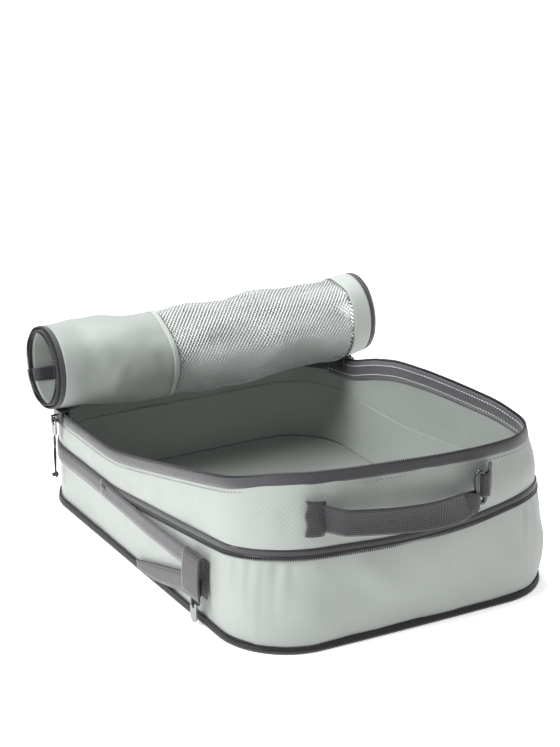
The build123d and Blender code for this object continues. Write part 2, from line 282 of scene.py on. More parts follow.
SAGE = (0.310, 0.336, 0.316)
PALE = (0.44, 0.475, 0.45)
GREY = (0.045, 0.044, 0.052)
MATERIALS = {
    "ripstop_fabric": ripstop("ripstop_fabric", SAGE, 0.62),
    "smooth_fabric": satin("smooth_fabric", SAGE),
    "mesh_fabric": woven("mesh_fabric", (0.66, 0.69, 0.67), 0.7, pitch=0.0006, depth=0.0001),
    "pale_binding": woven("pale_binding", PALE, 0.7, pitch=0.0010, depth=0.0002),
    # The zipper tape and the webbing get painted shade in the dips of their weave.
    "zipper_tape": woven("zipper_tape", GREY, 0.62, pitch=0.0011, depth=0.0002, sheen=0.5,
                         weave_shade=0.4),
    "binding_tape": woven("binding_tape", (0.06, 0.06, 0.07), 0.65, pitch=0.0011, depth=0.0002, sheen=0.4),
    "webbing": woven("webbing", (0.028, 0.027, 0.033), 0.6, pitch=0.0030, depth=0.0006, sheen=0.4,
                     diagonal=True, weave_shade=0.85),
    "zipper_coil": solid("zipper_coil", (0.012, 0.012, 0.014), 0.32),
    "black_plastic": solid("black_plastic", (0.012, 0.012, 0.013), 0.4),
    "glossy_plastic": solid("glossy_plastic", (0.008, 0.008, 0.010), 0.12, coat=0.6, grain=0.00002),
    "black_metal": solid("black_metal", (0.02, 0.02, 0.022), 0.3, coat=0.3),
    "silver_metal": solid("silver_metal", (0.28, 0.28, 0.29), 0.30, metallic=1.0),
    "cord": woven("cord", (0.012, 0.012, 0.014), 0.6, pitch=0.0008, depth=0.0003, diagonal=True),
    "stitching": woven("stitching", (0.75, 0.76, 0.75), 0.6, pitch=0.0005, depth=0.0001),
    "pale_stitching": woven("pale_stitching", (0.20, 0.22, 0.21), 0.6, pitch=0.0005, depth=0.0001),
}


# ------------ mesh builders

def add_object(name, data):
    piece = bpy.data.objects.new(name, data)
    bpy.context.scene.collection.objects.link(piece)
    return piece


def build(name, points, faces, uvs, slot, body, replaced=(), material=None):
    """A smooth mesh piece that rides on a body. uvs holds one pair for each face corner."""
    mesh = bpy.data.meshes.new(name)
    mesh.from_pydata(np.asarray(points).tolist(), [], faces)
    layer = mesh.uv_layers.new(name="cloth")
    layer.data.foreach_set("uv", np.asarray(uvs, dtype=np.float32).ravel())
    mesh.polygons.foreach_set("use_smooth", [True] * len(mesh.polygons))
    mesh.materials.append(MATERIALS[material or slot])
    mesh.update()
    piece = add_object(name, mesh)
    if body:
        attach(piece, body)
    if replaced:
        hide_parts(*replaced)
    return piece


def surface_normals(grid, wrap):
    """Unit normals of a grid of points, rows by columns."""
    down = np.gradient(grid, axis=0)
    if wrap:
        across = np.roll(grid, -1, axis=1) - np.roll(grid, 1, axis=1)
    else:
        across = np.gradient(grid, axis=1)
    normals = np.cross(across, down)
    return normals / np.maximum(np.linalg.norm(normals, axis=2, keepdims=True), 1e-12)


def side_faces(rows, cols, wrap, uv):
    """Faces over one side of a grid, and their UVs. If the grid wraps, uv has one column more than it."""
    r, c = np.meshgrid(np.arange(rows - 1), np.arange(cols if wrap else cols - 1), indexing="ij")
    r, c = r.ravel(), c.ravel()
    after = (c + 1) % cols
    quads = np.stack([r * cols + c, r * cols + after, (r + 1) * cols + after, (r + 1) * cols + c], axis=1)
    corner_rows = np.stack([r, r, r + 1, r + 1], axis=1)
    corner_cols = np.stack([c, c + 1, c + 1, c], axis=1)
    return quads, uv[corner_rows, corner_cols]


def edge_faces(rows, cols, wrap, uv, outward):
    """Faces that join the two sides of a sheet along its edges, and their UVs."""
    spans = cols if wrap else cols - 1
    edges = [(row, c0, row, c0 + 1) for row in (0, rows - 1) for c0 in range(spans)]
    if not wrap:
        edges += [(r0, col, r0 + 1, col) for col in (0, cols - 1) for r0 in range(rows - 1)]
    count = rows * cols
    faces, uvs = [], []
    for r0, c0, r1, c1 in edges:
        a, b = r0 * cols + c0 % cols, r1 * cols + c1 % cols
        flip = (r0 == r1 and r0 > 0) != (r0 != r1 and c0 == 0)
        face = [a, b, b + count, a + count] if flip else [b, a, a + count, b + count]
        faces.append(face if outward > 0 else face[::-1])
        uvs.append([uv[r0, c0], uv[r1, c1], uv[r1, c1], uv[r0, c0]])
    return np.array(faces), np.array(uvs)


def cloth(name, grid, thickness, slot, body, replaced=(), wrap=False, uv=None, outward=1, normals=None):
    """A closed sheet of cloth from a grid of outer points, thickened inwards."""
    grid, uv = np.array(grid), np.array(uv)
    rows, cols = grid.shape[:2]
    if normals is None:
        normals = surface_normals(grid, wrap)
    inner = grid - outward * normals * thickness
    points = np.concatenate([grid.reshape(-1, 3), inner.reshape(-1, 3)])
    quads, quad_uv = side_faces(rows, cols, wrap, uv)
    edges, edge_uv = edge_faces(rows, cols, wrap, uv, outward)
    outer_order, inner_order = (1, -1) if outward > 0 else (-1, 1)
    faces = [quads[:, ::outer_order], (quads + rows * cols)[:, ::inner_order], edges]
    uvs = [quad_uv[:, ::outer_order], quad_uv[:, ::inner_order], edge_uv]
    return build(name, points, np.concatenate(faces).tolist(), np.concatenate(uvs), slot, body, replaced)


def run_lengths(path):
    """Distance along a path at each of its points."""
    return np.concatenate([[0], np.cumsum(np.linalg.norm(np.diff(path, axis=0), axis=1))])


def tangents_along(path, closed):
    """Unit tangents of a path."""
    if closed:
        tangents = np.roll(path, -1, axis=0) - np.roll(path, 1, axis=0)
    else:
        tangents = np.gradient(path, axis=0)
    return tangents / np.linalg.norm(tangents, axis=1, keepdims=True)


def tube(name, path, radii, slot="zipper_coil", body="upper_body", replaced=(), closed=False, sides=8,
         up=(0, 0, 1)):
    """A tube along a path, with an oval section of two radii."""
    path = np.asarray(path, dtype=float)
    tangents = tangents_along(path, closed)
    side = np.cross(tangents, np.asarray(up, dtype=float))
    side /= np.maximum(np.linalg.norm(side, axis=1, keepdims=True), 1e-9)
    lift = np.cross(side, tangents)
    angles = np.arange(sides) * 2 * math.pi / sides
    rings = (
        path[:, None]
        + radii[0] * np.cos(angles)[None, :, None] * side[:, None]
        + radii[1] * np.sin(angles)[None, :, None] * lift[:, None]
    )
    count = len(path)
    faces, uvs = [], []
    lengths = run_lengths(path)
    girth = 2 * math.pi * max(radii)
    for i in range(count if closed else count - 1):
        j = (i + 1) % count
        for k in range(sides):
            m = (k + 1) % sides
            faces.append([i * sides + k, i * sides + m, j * sides + m, j * sides + k])
            u0, u1 = lengths[i], lengths[i] + 0.002 if closed else lengths[j]
            v0, v1 = girth * k / sides, girth * (k + 1) / sides
            uvs += [(u0, v0), (u0, v1), (u1, v1), (u1, v0)]
    points = rings.reshape(-1, 3)
    if not closed:
        for end, order in ((0, -1), (count - 1, 1)):
            faces.append([end * sides + k for k in range(sides)][::order])
            uvs += [(0, 0)] * sides
    return build(name, points, faces, uvs, slot, body, replaced)


def bead_shape(segments=6):
    """Unit bead: two poles and three rings."""
    points = [(0, 0, 1)]
    for tilt in (45, 90, 135):
        for k in range(segments):
            turn = 2 * math.pi * k / segments
            sine = math.sin(math.radians(tilt))
            points.append((sine * math.cos(turn), sine * math.sin(turn), math.cos(math.radians(tilt))))
    points.append((0, 0, -1))
    faces = []
    for k in range(segments):
        m = (k + 1) % segments
        faces.append((0, 1 + k, 1 + m))
        for ring in (0, 1):
            a = 1 + ring * segments
            faces.append((a + k, a + segments + k, a + segments + m, a + m))
        last = 1 + 2 * segments
        faces.append((last + k, len(points) - 1, last + m))
    return np.array(points), faces


def resample(path, pitch, closed=False):
    """Points evenly spaced along a path."""
    line = np.concatenate([path, path[:1]]) if closed else path
    along = run_lengths(line)
    count = max(2, int(along[-1] / pitch))
    at = np.linspace(0, along[-1], count, endpoint=not closed)
    return np.stack([np.interp(at, along, line[:, k]) for k in range(3)], axis=1)


def row_of_beads(name, path, out, sizes, replaced=(), pitch=TOOTH_PITCH, slot="zipper_coil",
                 body="upper_body", closed=False, material=None):
    """Small beads along a path, as one piece: zipper teeth or stitches.

    sizes are a bead's half lengths along the path, across it and outwards."""
    path = np.asarray(path)
    centres = resample(path, pitch, closed)
    nearest = [int(np.argmin(np.sum((path - centre) ** 2, axis=1))) for centre in centres]
    outs = np.asarray(out)[nearest].astype(float)
    along = tangents_along(centres, closed)
    outs -= np.sum(outs * along, axis=1, keepdims=True) * along
    outs /= np.linalg.norm(outs, axis=1, keepdims=True)
    axes = np.stack([along, outs, np.cross(outs, along)], axis=1)
    unit, faces = bead_shape()
    local = unit * (sizes[0], sizes[2], sizes[1])
    points = centres[:, None] + np.einsum("pk,nkj->npj", local, axes)
    all_faces, uvs = [], []
    for n in range(len(centres)):
        for face in faces:
            all_faces.append([n * len(unit) + i for i in face])
            uvs += [(local[i][0] + 0.001 * n, local[i][1]) for i in face]
    return build(name, points.reshape(-1, 3), all_faces, uvs, slot, body, replaced, material)


# ------------ the plan and the seam lines

def outline():
    """Stations round the plan from the back centre by the left side, the front and the right side."""
    straight_w, straight_l = HALF_W - CORNER, HALF_L - CORNER
    arc = CORNER * math.pi / 2
    runs = [straight_w, arc, 2 * straight_l, arc, 2 * straight_w, arc, 2 * straight_l, arc, straight_w]
    total = sum(runs)
    points = []
    for s in np.arange(STATIONS) * total / STATIONS:
        run = 0
        while s > runs[run]:
            s -= runs[run]
            run += 1
        sine = CORNER * math.sin(s / CORNER)
        cosine = CORNER * math.cos(s / CORNER)
        points.append({
            0: (-s, HALF_L),
            1: (-straight_w - sine, straight_l + cosine),
            2: (-HALF_W, straight_l - s),
            3: (-straight_w - cosine, -straight_l - sine),
            4: (-straight_w + s, -HALF_L),
            5: (straight_w + sine, -straight_l - cosine),
            6: (HALF_W, -straight_l + s),
            7: (straight_w + cosine, straight_l + sine),
            8: (straight_w - s, HALF_L),
        }[run])
    plan = np.array(points)
    front = np.clip((-plan[:, 1] - straight_l) / CORNER, 0, 1)
    plan[:, 1] -= BASE_BOW * front * (1 - (plan[:, 0] / HALF_W) ** 2)
    tangent = np.roll(plan, -1, axis=0) - np.roll(plan, 1, axis=0)
    tangent /= np.linalg.norm(tangent, axis=1, keepdims=True)
    normal = np.stack([tangent[:, 1], -tangent[:, 0]], axis=1)
    normal *= np.sign(np.sum(normal * plan, axis=1, keepdims=True))
    return plan, normal, total


PLAN, PLAN_NORMAL, PERIMETER = outline()
ALONG = np.arange(STATIONS) * PERIMETER / STATIONS
ALL = np.arange(STATIONS)


def smooth(value):
    """A soft step from 0 to 1."""
    value = np.clip(value, 0, 1)
    return value * value * (3 - 2 * value)


FRONTNESS = smooth(-PLAN[:, 1] / 0.16)


def ramp_height(front, back, y):
    """Height of a seam that is level at the back and rises to the front after a soft knee."""
    reach = KNEE_Y - y
    soft = (reach + np.sqrt(reach**2 + KNEE_SOFTNESS**2)) / 2
    return back + soft * (front - back) / (KNEE_Y + HALF_L)


def smooth_loop(values, reach):
    """Moving average round the closed outline."""
    return sum(np.roll(values, k) for k in range(-reach, reach + 1)) / (2 * reach + 1)


def waviness(scale, seed):
    """Slow wander along the outline, from -1 to 1, that closes on itself."""
    turn = ALONG / PERIMETER * 2 * math.pi
    reach = PERIMETER / (2 * math.pi * scale)
    return np.array([noise.noise(Vector((reach * math.cos(t), reach * math.sin(t), seed))) for t in turn])


X, Y = PLAN[:, 0], PLAN[:, 1]


def bump_at(side, x, width):
    """A soft bump along the front of the outline, around one place."""
    spot = ALONG[int(np.argmin(np.hypot(X - side * x, Y + HALF_L * 0.97)))]
    return np.exp(-(((ALONG - spot) / width) ** 2))


LEFT_CORNER = bump_at(-1, 0.108, 0.055)
RIGHT_CORNER = bump_at(1, 0.108, 0.060)
FRONT_MIDDLE = bump_at(1, 0.0, 0.085)
RIGHT_SIDE = smooth((X - 0.06) / 0.06) * smooth((0.090 - Y) / 0.09)
RIGHT_FRONT = smooth((X + 0.02) / 0.10) * smooth((-Y - 0.10) / 0.06)

# How far the walls stand out from the base at the middle seam and lean in at the rim.
MID_PUSH = 0.0045 * FRONT_MIDDLE - 0.0045 * RIGHT_CORNER - 0.0020 * LEFT_CORNER
RIM_PUSH = (
    0.0010 * FRONT_MIDDLE - 0.0095 * LEFT_CORNER - 0.0080 * RIGHT_CORNER
    - 0.0090 * RIGHT_SIDE * (1 - 0.5 * RIGHT_CORNER)
)
RIM_WAVE = waviness(0.06, 3.1) * (0.0003 + 0.0014 * FRONTNESS)
MID_WAVE = waviness(0.07, 8.4) * (0.0005 + 0.0016 * FRONTNESS)

# The full right side holds its rim up higher than the slack left side.
RIGHT_LEVEL = np.interp(Y, *zip(*RIGHT_RIM))
RIM_Z = np.where(X > 0.09, RIGHT_LEVEL, ramp_height(RIM_FRONT, RIM_BACK, Y))
RIM_Z = smooth_loop(RIM_Z + RIM_WAVE - 0.0045 * FRONT_MIDDLE - 0.0070 * RIGHT_FRONT, 14)
MID_Z = ramp_height(MID_FRONT, MID_BACK, Y) + MID_WAVE - 0.0045 * FRONT_MIDDLE + 0.0030 * RIGHT_CORNER
LEVELS = {"base": np.zeros(STATIONS), "mid": MID_Z, "rim": RIM_Z}


def place(index, offset, z):
    """Points at stations and heights: the plan pushed out by an offset and by the wall's own lean."""
    low = smooth(z / MID_Z[index])
    high = np.clip((z - MID_Z[index]) / (RIM_Z[index] - MID_Z[index]), 0, 1.1)
    shift = offset + MID_PUSH[index] * low * (1 - high) + RIM_PUSH[index] * high
    flat = PLAN[index] + PLAN_NORMAL[index] * np.broadcast_to(shift, index.shape)[:, None]
    return np.column_stack([flat, np.broadcast_to(z, index.shape)])


def stations_between(start, stop):
    """Station numbers from start, forwards round the outline, to stop."""
    stop = stop if stop > start else stop + STATIONS
    return np.arange(start, stop + 1) % STATIONS


def side_station(side, y):
    """The station on the left (-1) or right (1) side at this y."""
    candidates = np.where((np.sign(X) == side) & (np.abs(X) >= 0.6 * HALF_W))[0]
    return int(candidates[np.argmin(np.abs(Y[candidates] - y))])


ZIP_STATIONS = stations_between(side_station(-1, ZIP_END_Y), side_station(1, ZIP_END_Y))


def band(name, index, level, edges, offset, replaced=(), thickness=TAPE, slot="zipper_tape",
         body="upper_body", wrap=False, bulge=0.0):
    """A tape that follows a seam line, between its lower and upper edges."""
    low, high = edges
    rows = 4
    grid, uv = [], []
    lengths = np.arange(len(index) + 1) * PERIMETER / STATIONS
    for t in np.arange(rows) / (rows - 1):
        z = LEVELS[level][index] + low + (high - low) * t
        grid.append(place(index, offset + bulge * math.sin(math.pi * t), z))
        uv.append(np.column_stack([lengths, np.full(len(index) + 1, np.mean(high - low) * t)]))
    return cloth(name, grid, thickness, slot, body, replaced, wrap, uv)


def seam_path(index, level, z_shift, offset):
    """Points along a seam line, shifted up and outwards."""
    return place(index, offset, LEVELS[level][index] + z_shift)


def outward(index):
    """Level unit vectors away from the bag."""
    return np.column_stack([PLAN_NORMAL[index], np.zeros(len(index))])


# ------------ walls

FRONTISH = smooth((-Y - 0.095) / 0.07)
PUCKERED = np.clip(0.25 + 1.4 * waviness(0.05, 4.4), 0.05, 1.0) * (0.15 + 0.85 * FRONTISH)


def fold(x, y, z):
    """Smooth noise between about -1 and 1."""
    return noise.noise(Vector((x, y, z)))


def wall_piece(name, low_z, high_z, offset, relief, thickness, slot, body, replaced, rows):
    """A wall between two heights given per station, with a relief function for its folds."""
    grid, uv = [], []
    lengths = np.arange(STATIONS + 1) * PERIMETER / STATIONS
    height = high_z - low_z
    for k in range(rows):
        t = k / (rows - 1)
        z = low_z + height * t
        shift = np.array([relief(i, t, height[i]) for i in range(STATIONS)])
        grid.append(place(ALL, offset + shift, z))
        level = np.append(height * t, height[0] * t)
        uv.append(np.column_stack([lengths, level]))
    return cloth(name, grid, thickness, slot, body, replaced, True, uv)


def gusset_relief(i, t, height):
    """Belly of the gusset, broad dents, and puckers gathered under the middle zipper."""
    belly = math.sin(math.pi * t) ** 0.8
    s = ALONG[i]
    front = FRONTISH[i]
    bulge = (0.0006 + 0.0046 * front) * belly
    broad = 0.0042 * fold(s / 0.085, t * 1.1, 1.7) * belly * (0.20 + 0.80 * front)
    slant = 0.0020 * fold((s + 0.05 * t) / 0.024, t * 1.6, 6.2) * belly * (0.25 + 0.75 * front)
    drop = (1 - t) * height
    below = drop - PUCKER_START
    gather = math.exp(-max(0.0, below) / PUCKER_REACH) * smooth(below / 0.004)
    pucker = 0.0042 * gather * PUCKERED[i] * fold(s / 0.0060, t * 1.2, 2.9)
    pull = 0.0016 * math.exp(-t * height / 0.012) * belly * fold(s / 0.010, 0.0, 12.9) * front
    return bulge + broad + slant + pucker + pull


def wall_relief(i, t, height):
    """Soft dents of the upper wall."""
    belly = math.sin(math.pi * t)
    s = ALONG[i]
    front = FRONTISH[i]
    bulge = (0.0003 + 0.0016 * front) * belly
    broad = 0.0028 * fold(s / 0.065, t * 1.3, 5.3) * belly * (0.30 + 0.70 * front)
    fine = 0.0010 * fold((s - 0.02 * t) / 0.017, t * 2.4, 9.2) * belly
    above_tape = smooth((t - 0.2) / 0.1)
    gather = 0.0009 * (1 - t) ** 3 * fold(s / 0.0060, t, 21.0) * above_tape * (0.3 + 0.7 * front)
    return bulge + broad + fine + gather


def make_walls():
    """The gusset and the upper wall."""
    low = np.full(STATIONS, 0.0016)
    gusset = wall_piece(
        "gusset_cloth", low, MID_Z + 0.002, -0.0016, gusset_relief, CLOTH, "smooth_fabric", None,
        ("expansion_gusset",), 30)
    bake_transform(gusset)
    wall_piece(
        "upper_wall_cloth", MID_Z - WALL_LAP, RIM_Z - WALL_TOP_GAP, -WALL_INSET, wall_relief, CLOTH,
        "ripstop_fabric", "upper_body", ("upper_wall",), 26)


def make_floor_panel():
    """Bottom panel with slight undulation, drawn as shrinking loops of the outline."""
    scales = np.append(np.linspace(1, 0.04, 25), (0.004, 0.001))
    grid, uv = [], []
    index = ALL[::6]
    for scale in scales:
        flat = PLAN[index] * scale * (1 - 0.0014 / HALF_W)
        ripple = np.array([fold(x / 0.05, y / 0.05, 2.2) for x, y in flat])
        z = 0.0019 + 0.0007 * ripple * (1 - scale**6)
        grid.append(np.column_stack([flat, z]))
        uv.append(np.concatenate([flat, flat[:1]]))
    cloth("bottom_panel_cloth", grid, CLOTH, "smooth_fabric", "base", ("bottom_panel",), True,
          uv, normals=np.array([0.0, 0.0, 1.0]))


# ------------ zippers round the bag

def make_expansion_zipper():
    """Bottom piping, the two expansion tapes with their coils, and the binding over the back corner."""
    piping = seam_path(ALL, "base", 0.0013, 0.0001)
    tube("bottom_piping_cord", piping, (0.0014, 0.0012), "zipper_tape", "base", ("bottom_piping",), True)
    band("lower_tape", ALL, "base", LOWER_TAPE, -0.0004, ("lower_expansion_tape",), body="base", wrap=True,
         bulge=0.0003)
    row_of_beads("lower_coil", seam_path(ALL, "base", 0.0048, 0.0004), outward(ALL), TOOTH,
                 ("lower_expansion_chain",), body="base", closed=True)
    tube("lower_coil_cord", seam_path(ALL, "base", 0.0034, 0.0003), COIL_CORD, body="base", closed=True,
         sides=6)
    band("upper_tape", ALL, "mid", UPPER_TAPE, 0.0001, ("upper_expansion_tape",), wrap=True, bulge=0.0004)
    zipped = stations_between(side_station(-1, 0.057), side_station(-1, 0.150) + STATIONS)
    row_of_beads("upper_coil", seam_path(zipped, "mid", -0.0040, 0.0007), outward(zipped), TOOTH,
                 ("upper_expansion_chain",))
    tube("upper_coil_cord", seam_path(zipped, "mid", -0.0024, 0.0006), COIL_CORD, sides=6)
    tube("upper_seam_cord", seam_path(ALL, "mid", 0.0025, 0.0002), (0.0005, 0.0005), closed=True, sides=6)
    plain = stations_between(BACK_STRIP_START, side_station(-1, 0.054))
    widening = smooth(np.arange(len(plain)) / 60)
    edges = (BACK_STRIP_LOW - BACK_STRIP_WIDENING * widening, BACK_STRIP_TOP)
    band("back_strip", plain, "mid", edges, 0.0004 + 0.0006 * widening, bulge=0.0003)
    stop = seam_path(zipped[:7], "mid", -0.0026, 0.0012)
    tube("upper_coil_stop", stop, (0.0014, 0.0026), "black_plastic")


def make_main_zipper():
    """Rim tape and coil, the inner binding with its stitches, and the binding of the back seam."""
    band("rim_tape_cloth", ZIP_STATIONS, "rim", RIM_TAPE, 0.0001, ("rim_tape",), bulge=0.0004)
    away = outward(ZIP_STATIONS)
    path = seam_path(ZIP_STATIONS, "rim", 0.0007, -0.0006)
    row_of_beads("rim_coil", path, away, RIM_TOOTH, ("rim_chain",))
    tube("rim_coil_cord", seam_path(ZIP_STATIONS, "rim", -0.0004, -0.0007), (0.0009, 0.0009), sides=6)
    band("inner_binding_cloth", ZIP_STATIONS, "rim", INNER_BINDING, -0.0019, ("inner_binding",), BINDING,
         "binding_tape", bulge=-0.0003)
    for number, drop in enumerate((-0.0035, -0.0115)):
        path = seam_path(ZIP_STATIONS, "rim", drop, -0.0027)
        row_of_beads(f"inner_stitches_{number}", path, away, INNER_STITCH, (), 0.0034, "binding_tape",
                     material="stitching")
    path = seam_path(ZIP_STATIONS, "rim", -0.0098, 0.0001)
    row_of_beads("rim_stitches", path, away, RIM_STITCH, (), 0.0036, "ripstop_fabric",
                 material="pale_stitching")
    back = stations_between(side_station(1, ZIP_END_Y), side_station(-1, ZIP_END_Y))
    band("hinge_binding_cloth", back, "rim", HINGE_BINDING, -0.0019, ("hinge_binding",), BINDING,
         "binding_tape")


# ------------ leads and garage tab on the left side

def ribbon(name, low, high, x_of, slot, body, replaced):
    """A strip on the left side between two (y, z) edge lines, at a depth given by x_of(t)."""
    t = np.linspace(0, 1, 40)
    low, high = np.array(low), np.array(high)
    spots = np.linspace(0, 1, len(low))
    lower = np.column_stack([np.interp(t, spots, low[:, k]) for k in (0, 1)])
    upper = np.column_stack([np.interp(t, spots, high[:, k]) for k in (0, 1)])
    x = np.array([x_of(v) for v in t])
    grid, uv = [], []
    for w in np.arange(5) / 4:
        flat = lower * (1 - w) + upper * w
        grid.append(np.column_stack([x, flat]))
        uv.append(flat)
    return cloth(name, grid, TAPE, slot, body, replaced, False, uv, -1)


def make_leads():
    """The free ends of the two expansion tapes, which meet at the garage tab."""
    out = -HALF_W
    tab_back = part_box("garage_tab")[1][1] - 0.0010
    lower_low = [(-0.002, 0.0020), (-0.030, 0.0035), (-0.060, 0.0100), (tab_back, 0.0185)]
    lower_high = [(-0.002, 0.0075), (-0.030, 0.0160), (-0.060, 0.0245), (tab_back, 0.0335)]

    def lower_x(t):
        return out - 0.0012 - 0.0016 * t

    ribbon("lower_lead", lower_low, lower_high, lower_x, "zipper_tape", "base", ("lower_lead_tape",))
    spots = np.linspace(0, 1, 4)
    edge = []
    for t in np.linspace(0, 1, 30):
        y, z = [np.interp(t, spots, [point[k] for point in lower_high]) for k in (0, 1)]
        edge.append((lower_x(t) - 0.0005, y, z))
    tube("lower_lead_coil", edge, (0.0012, 0.0012), body="base")

    upper_low = [(0.058, 0.0375), (0.030, 0.0370), (-0.020, 0.0360), (tab_back, 0.0370)]
    upper_high = [(0.058, 0.0500), (0.030, 0.0492), (-0.020, 0.0490), (tab_back, 0.0515)]

    def upper_x(t):
        return out - 0.0012 - 0.0016 * smooth((t - 0.2) / 0.8)

    lead = ribbon("upper_lead", upper_low, upper_high, upper_x, "zipper_tape", None, ("upper_lead_tape",))
    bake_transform(lead)


def make_garage_tab():
    """Webbing folded over at the top, hiding the parked expansion slider."""
    low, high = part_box("garage_tab")
    y0, y1 = low[1], high[1]
    inner = high[0] - 0.0014
    profile = [(inner, low[2] + 0.002), (inner, low[2] + 0.014), (inner, high[2] - 0.004)]
    mid_x, radius = (low[0] + inner) / 2, (inner - low[0]) / 2
    fold_z = high[2] - 0.003
    for a in np.linspace(0, math.pi, 7):
        profile.append((mid_x + radius * math.cos(a), fold_z + 0.003 * math.sin(a)))
    for t in np.arange(1, 9) / 8:
        profile.append((low[0] - 0.0008 * math.sin(math.pi * t), fold_z - (fold_z - low[2]) * t))
    profile = np.array(profile)
    cols = np.linspace(y1, y0, 14)
    grid = np.array([[(x, y, z) for y in cols] for x, z in profile])
    uv = np.array([[(y, v) for y in cols] for v in run_lengths(profile)])
    cloth("garage_tab_webbing", grid, 0.0012, "webbing", "base", ("garage_tab",), False, uv, 1)


# ------------ front handle

def front_wall_y(x, z):
    """The y of the outer face of the dented front wall at this place."""
    ahead = np.where(Y < -0.12)[0]
    i = ahead[int(np.argmin(np.abs(X[ahead] - x)))]
    height = RIM_Z[i] - MID_Z[i] + WALL_LAP - WALL_TOP_GAP
    t = (z - MID_Z[i] + WALL_LAP) / height
    shift = wall_relief(i, t, height) - WALL_INSET
    return float(place(np.array([i]), shift, z)[0][1])


def strap_line():
    """The strap's middle line from its sewn end to the ring, and its half width along that line."""
    low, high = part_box("handle_strap")
    tab_low, tab_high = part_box("handle_tab_left")
    middle, half_span = (low[0] + high[0]) / 2, (high[0] - low[0]) / 2
    half = (high[2] - low[2]) / 2
    reach = high[1] - low[1] - WEBBING
    tab_z = (tab_low[2] + tab_high[2]) / 2 - TAB_LOWER
    left, right = low[0] - 0.004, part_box("handle_ring")[0][0] + 0.0022
    path, widths = [], []
    for x in np.linspace(left, right, 80):
        inside = float(np.clip(1 - ((x - middle) / half_span) ** 2, 0, 1))
        sewn = float(smooth((low[0] + 0.012 - x) / 0.014))
        y = high[1] - reach * inside
        y += sewn * (front_wall_y(x, tab_z) - 0.0030 - y)
        travel = (x - left) / (right - left)
        path.append((x, y - 0.0008, tab_z - STRAP_DROP * float(smooth(travel))))
        widths.append(half * (1 - 0.22 * float(smooth((x - right + 0.016) / 0.016))))
    return np.array(path), np.array(widths), half


def make_strap(path, widths, half):
    """Strap of soft webbing, crowned across its width and slightly twisted."""
    lengths = run_lengths(path)
    grid, uv = [], []
    for w in -1 + np.arange(9) / 4:
        row = path.copy()
        row[:, 2] += widths * w
        row[:, 1] += 0.0010 * (1 - w * w) - 0.0018 * w * np.sin(lengths * 32 + 0.6)
        grid.append(row)
        uv.append(np.column_stack([lengths, np.full(len(path), half * w)]))
    strap = cloth("handle_webbing", grid, WEBBING, "webbing", None, ("handle_strap",), False, uv)
    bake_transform(strap)


def make_ring():
    """Oval ring, leaning a little."""
    low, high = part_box("handle_ring")
    x, y, z = [(a + b) / 2 for a, b in zip(low, high)]
    half_w, half_h = (high[0] - low[0]) / 2 - 0.0015, (high[2] - low[2]) / 2 - 0.0015
    loop = []
    for a in np.linspace(0, 2 * math.pi, 48, endpoint=False):
        across = half_w * math.copysign(abs(math.cos(a)) ** 0.7, math.cos(a))
        rise = half_h * math.copysign(abs(math.sin(a)) ** 0.7, math.sin(a))
        loop.append((x + across - 0.10 * rise, y, z + rise))
    tube("handle_ring_loop", loop, (0.0016, 0.0016), "glossy_plastic", "front_handle", ("handle_ring",),
         closed=True, sides=10, up=(0, 1, 0))


def make_handle():
    """Strap, ring and the two tabs that hold them to the wall."""
    path, widths, half = strap_line()
    make_strap(path, widths, half)
    make_ring()
    ring_low, ring_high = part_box("handle_ring")
    ring_y = (ring_low[1] + ring_high[1]) / 2
    wrap_loop("strap_fold", ring_low[0] + 0.0015, -1, 0.010, ring_y, path[-1][2], widths[-1] * 0.98,
              "front_handle", ())
    right_low, right_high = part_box("handle_tab_right")
    tab = wrap_loop("ring_tab", ring_high[0] - 0.0025, 1, right_high[0] - ring_high[0] - 0.0040, ring_y,
                    (right_low[2] + right_high[2]) / 2 - 0.0025, half, None, ("handle_tab_right",))
    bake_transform(tab)
    left_tab()


def wrap_loop(name, x_ring, side, length, y, z, half, body, replaced):
    """Webbing that goes round one leg of the ring and back on itself."""
    profile = []

    def leg(places, depth, wall_gap, free_depth):
        for t in places:
            x = x_ring + side * (0.0022 + length * t)
            y_end = front_wall_y(x, z) - wall_gap if side > 0 else y + free_depth
            profile.append((x, (y + depth) * (1 - smooth(t)) + y_end * smooth(t)))

    leg(np.linspace(1, 0, 8), 0.0028, 0.0016, 0.0016)
    for a in np.linspace(90, 270, 9)[1:-1]:
        angle = math.radians(a)
        profile.append((x_ring + side * 0.0028 * math.cos(angle), y + 0.0028 * math.sin(-angle + math.pi)))
    leg(np.linspace(0, 1, 8), -0.0028, 0.0042, -0.0026)
    profile = np.array(profile)
    lengths = run_lengths(profile)
    pinch = 0.78 + 0.22 * np.clip(np.abs(profile[:, 0] - x_ring) / 0.010, 0, 1)
    grid, uv = [], []
    for w in np.linspace(-1, 1, 9):
        grid.append([(px, py, z + w * half * p) for (px, py), p in zip(profile, pinch)])
        uv.append([(u, w * half) for u in lengths])
    return cloth(name, grid, 0.0013, "webbing", body, replaced, False, uv, side)


def left_tab():
    """Folded end of the strap, sewn to the wall on the left."""
    low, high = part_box("handle_tab_left")
    middle_z = (low[2] + high[2]) / 2 - TAB_LOWER
    profile = []
    for t in np.linspace(0, 1, 16):
        x = low[0] + 0.0050 + (high[0] - low[0]) * t
        stand = 0.0030 + 0.0020 * math.sin(math.pi * t) ** 0.5 + 0.0012 * t
        profile.append((x, front_wall_y(x, middle_z) - stand))
    profile = np.array(profile)
    lengths = run_lengths(profile)
    rows = np.linspace(low[2], high[2], 12) - TAB_LOWER
    grid = np.array([[(px + 0.0008 * math.sin(z * 420), py, z) for px, py in profile] for z in rows])
    uv = np.array([[(u, z) for u in lengths] for z in rows])
    cloth("left_handle_tab", grid, 0.0026, "webbing", "upper_body", ("handle_tab_left",), False, uv)


# ------------ rolled lid

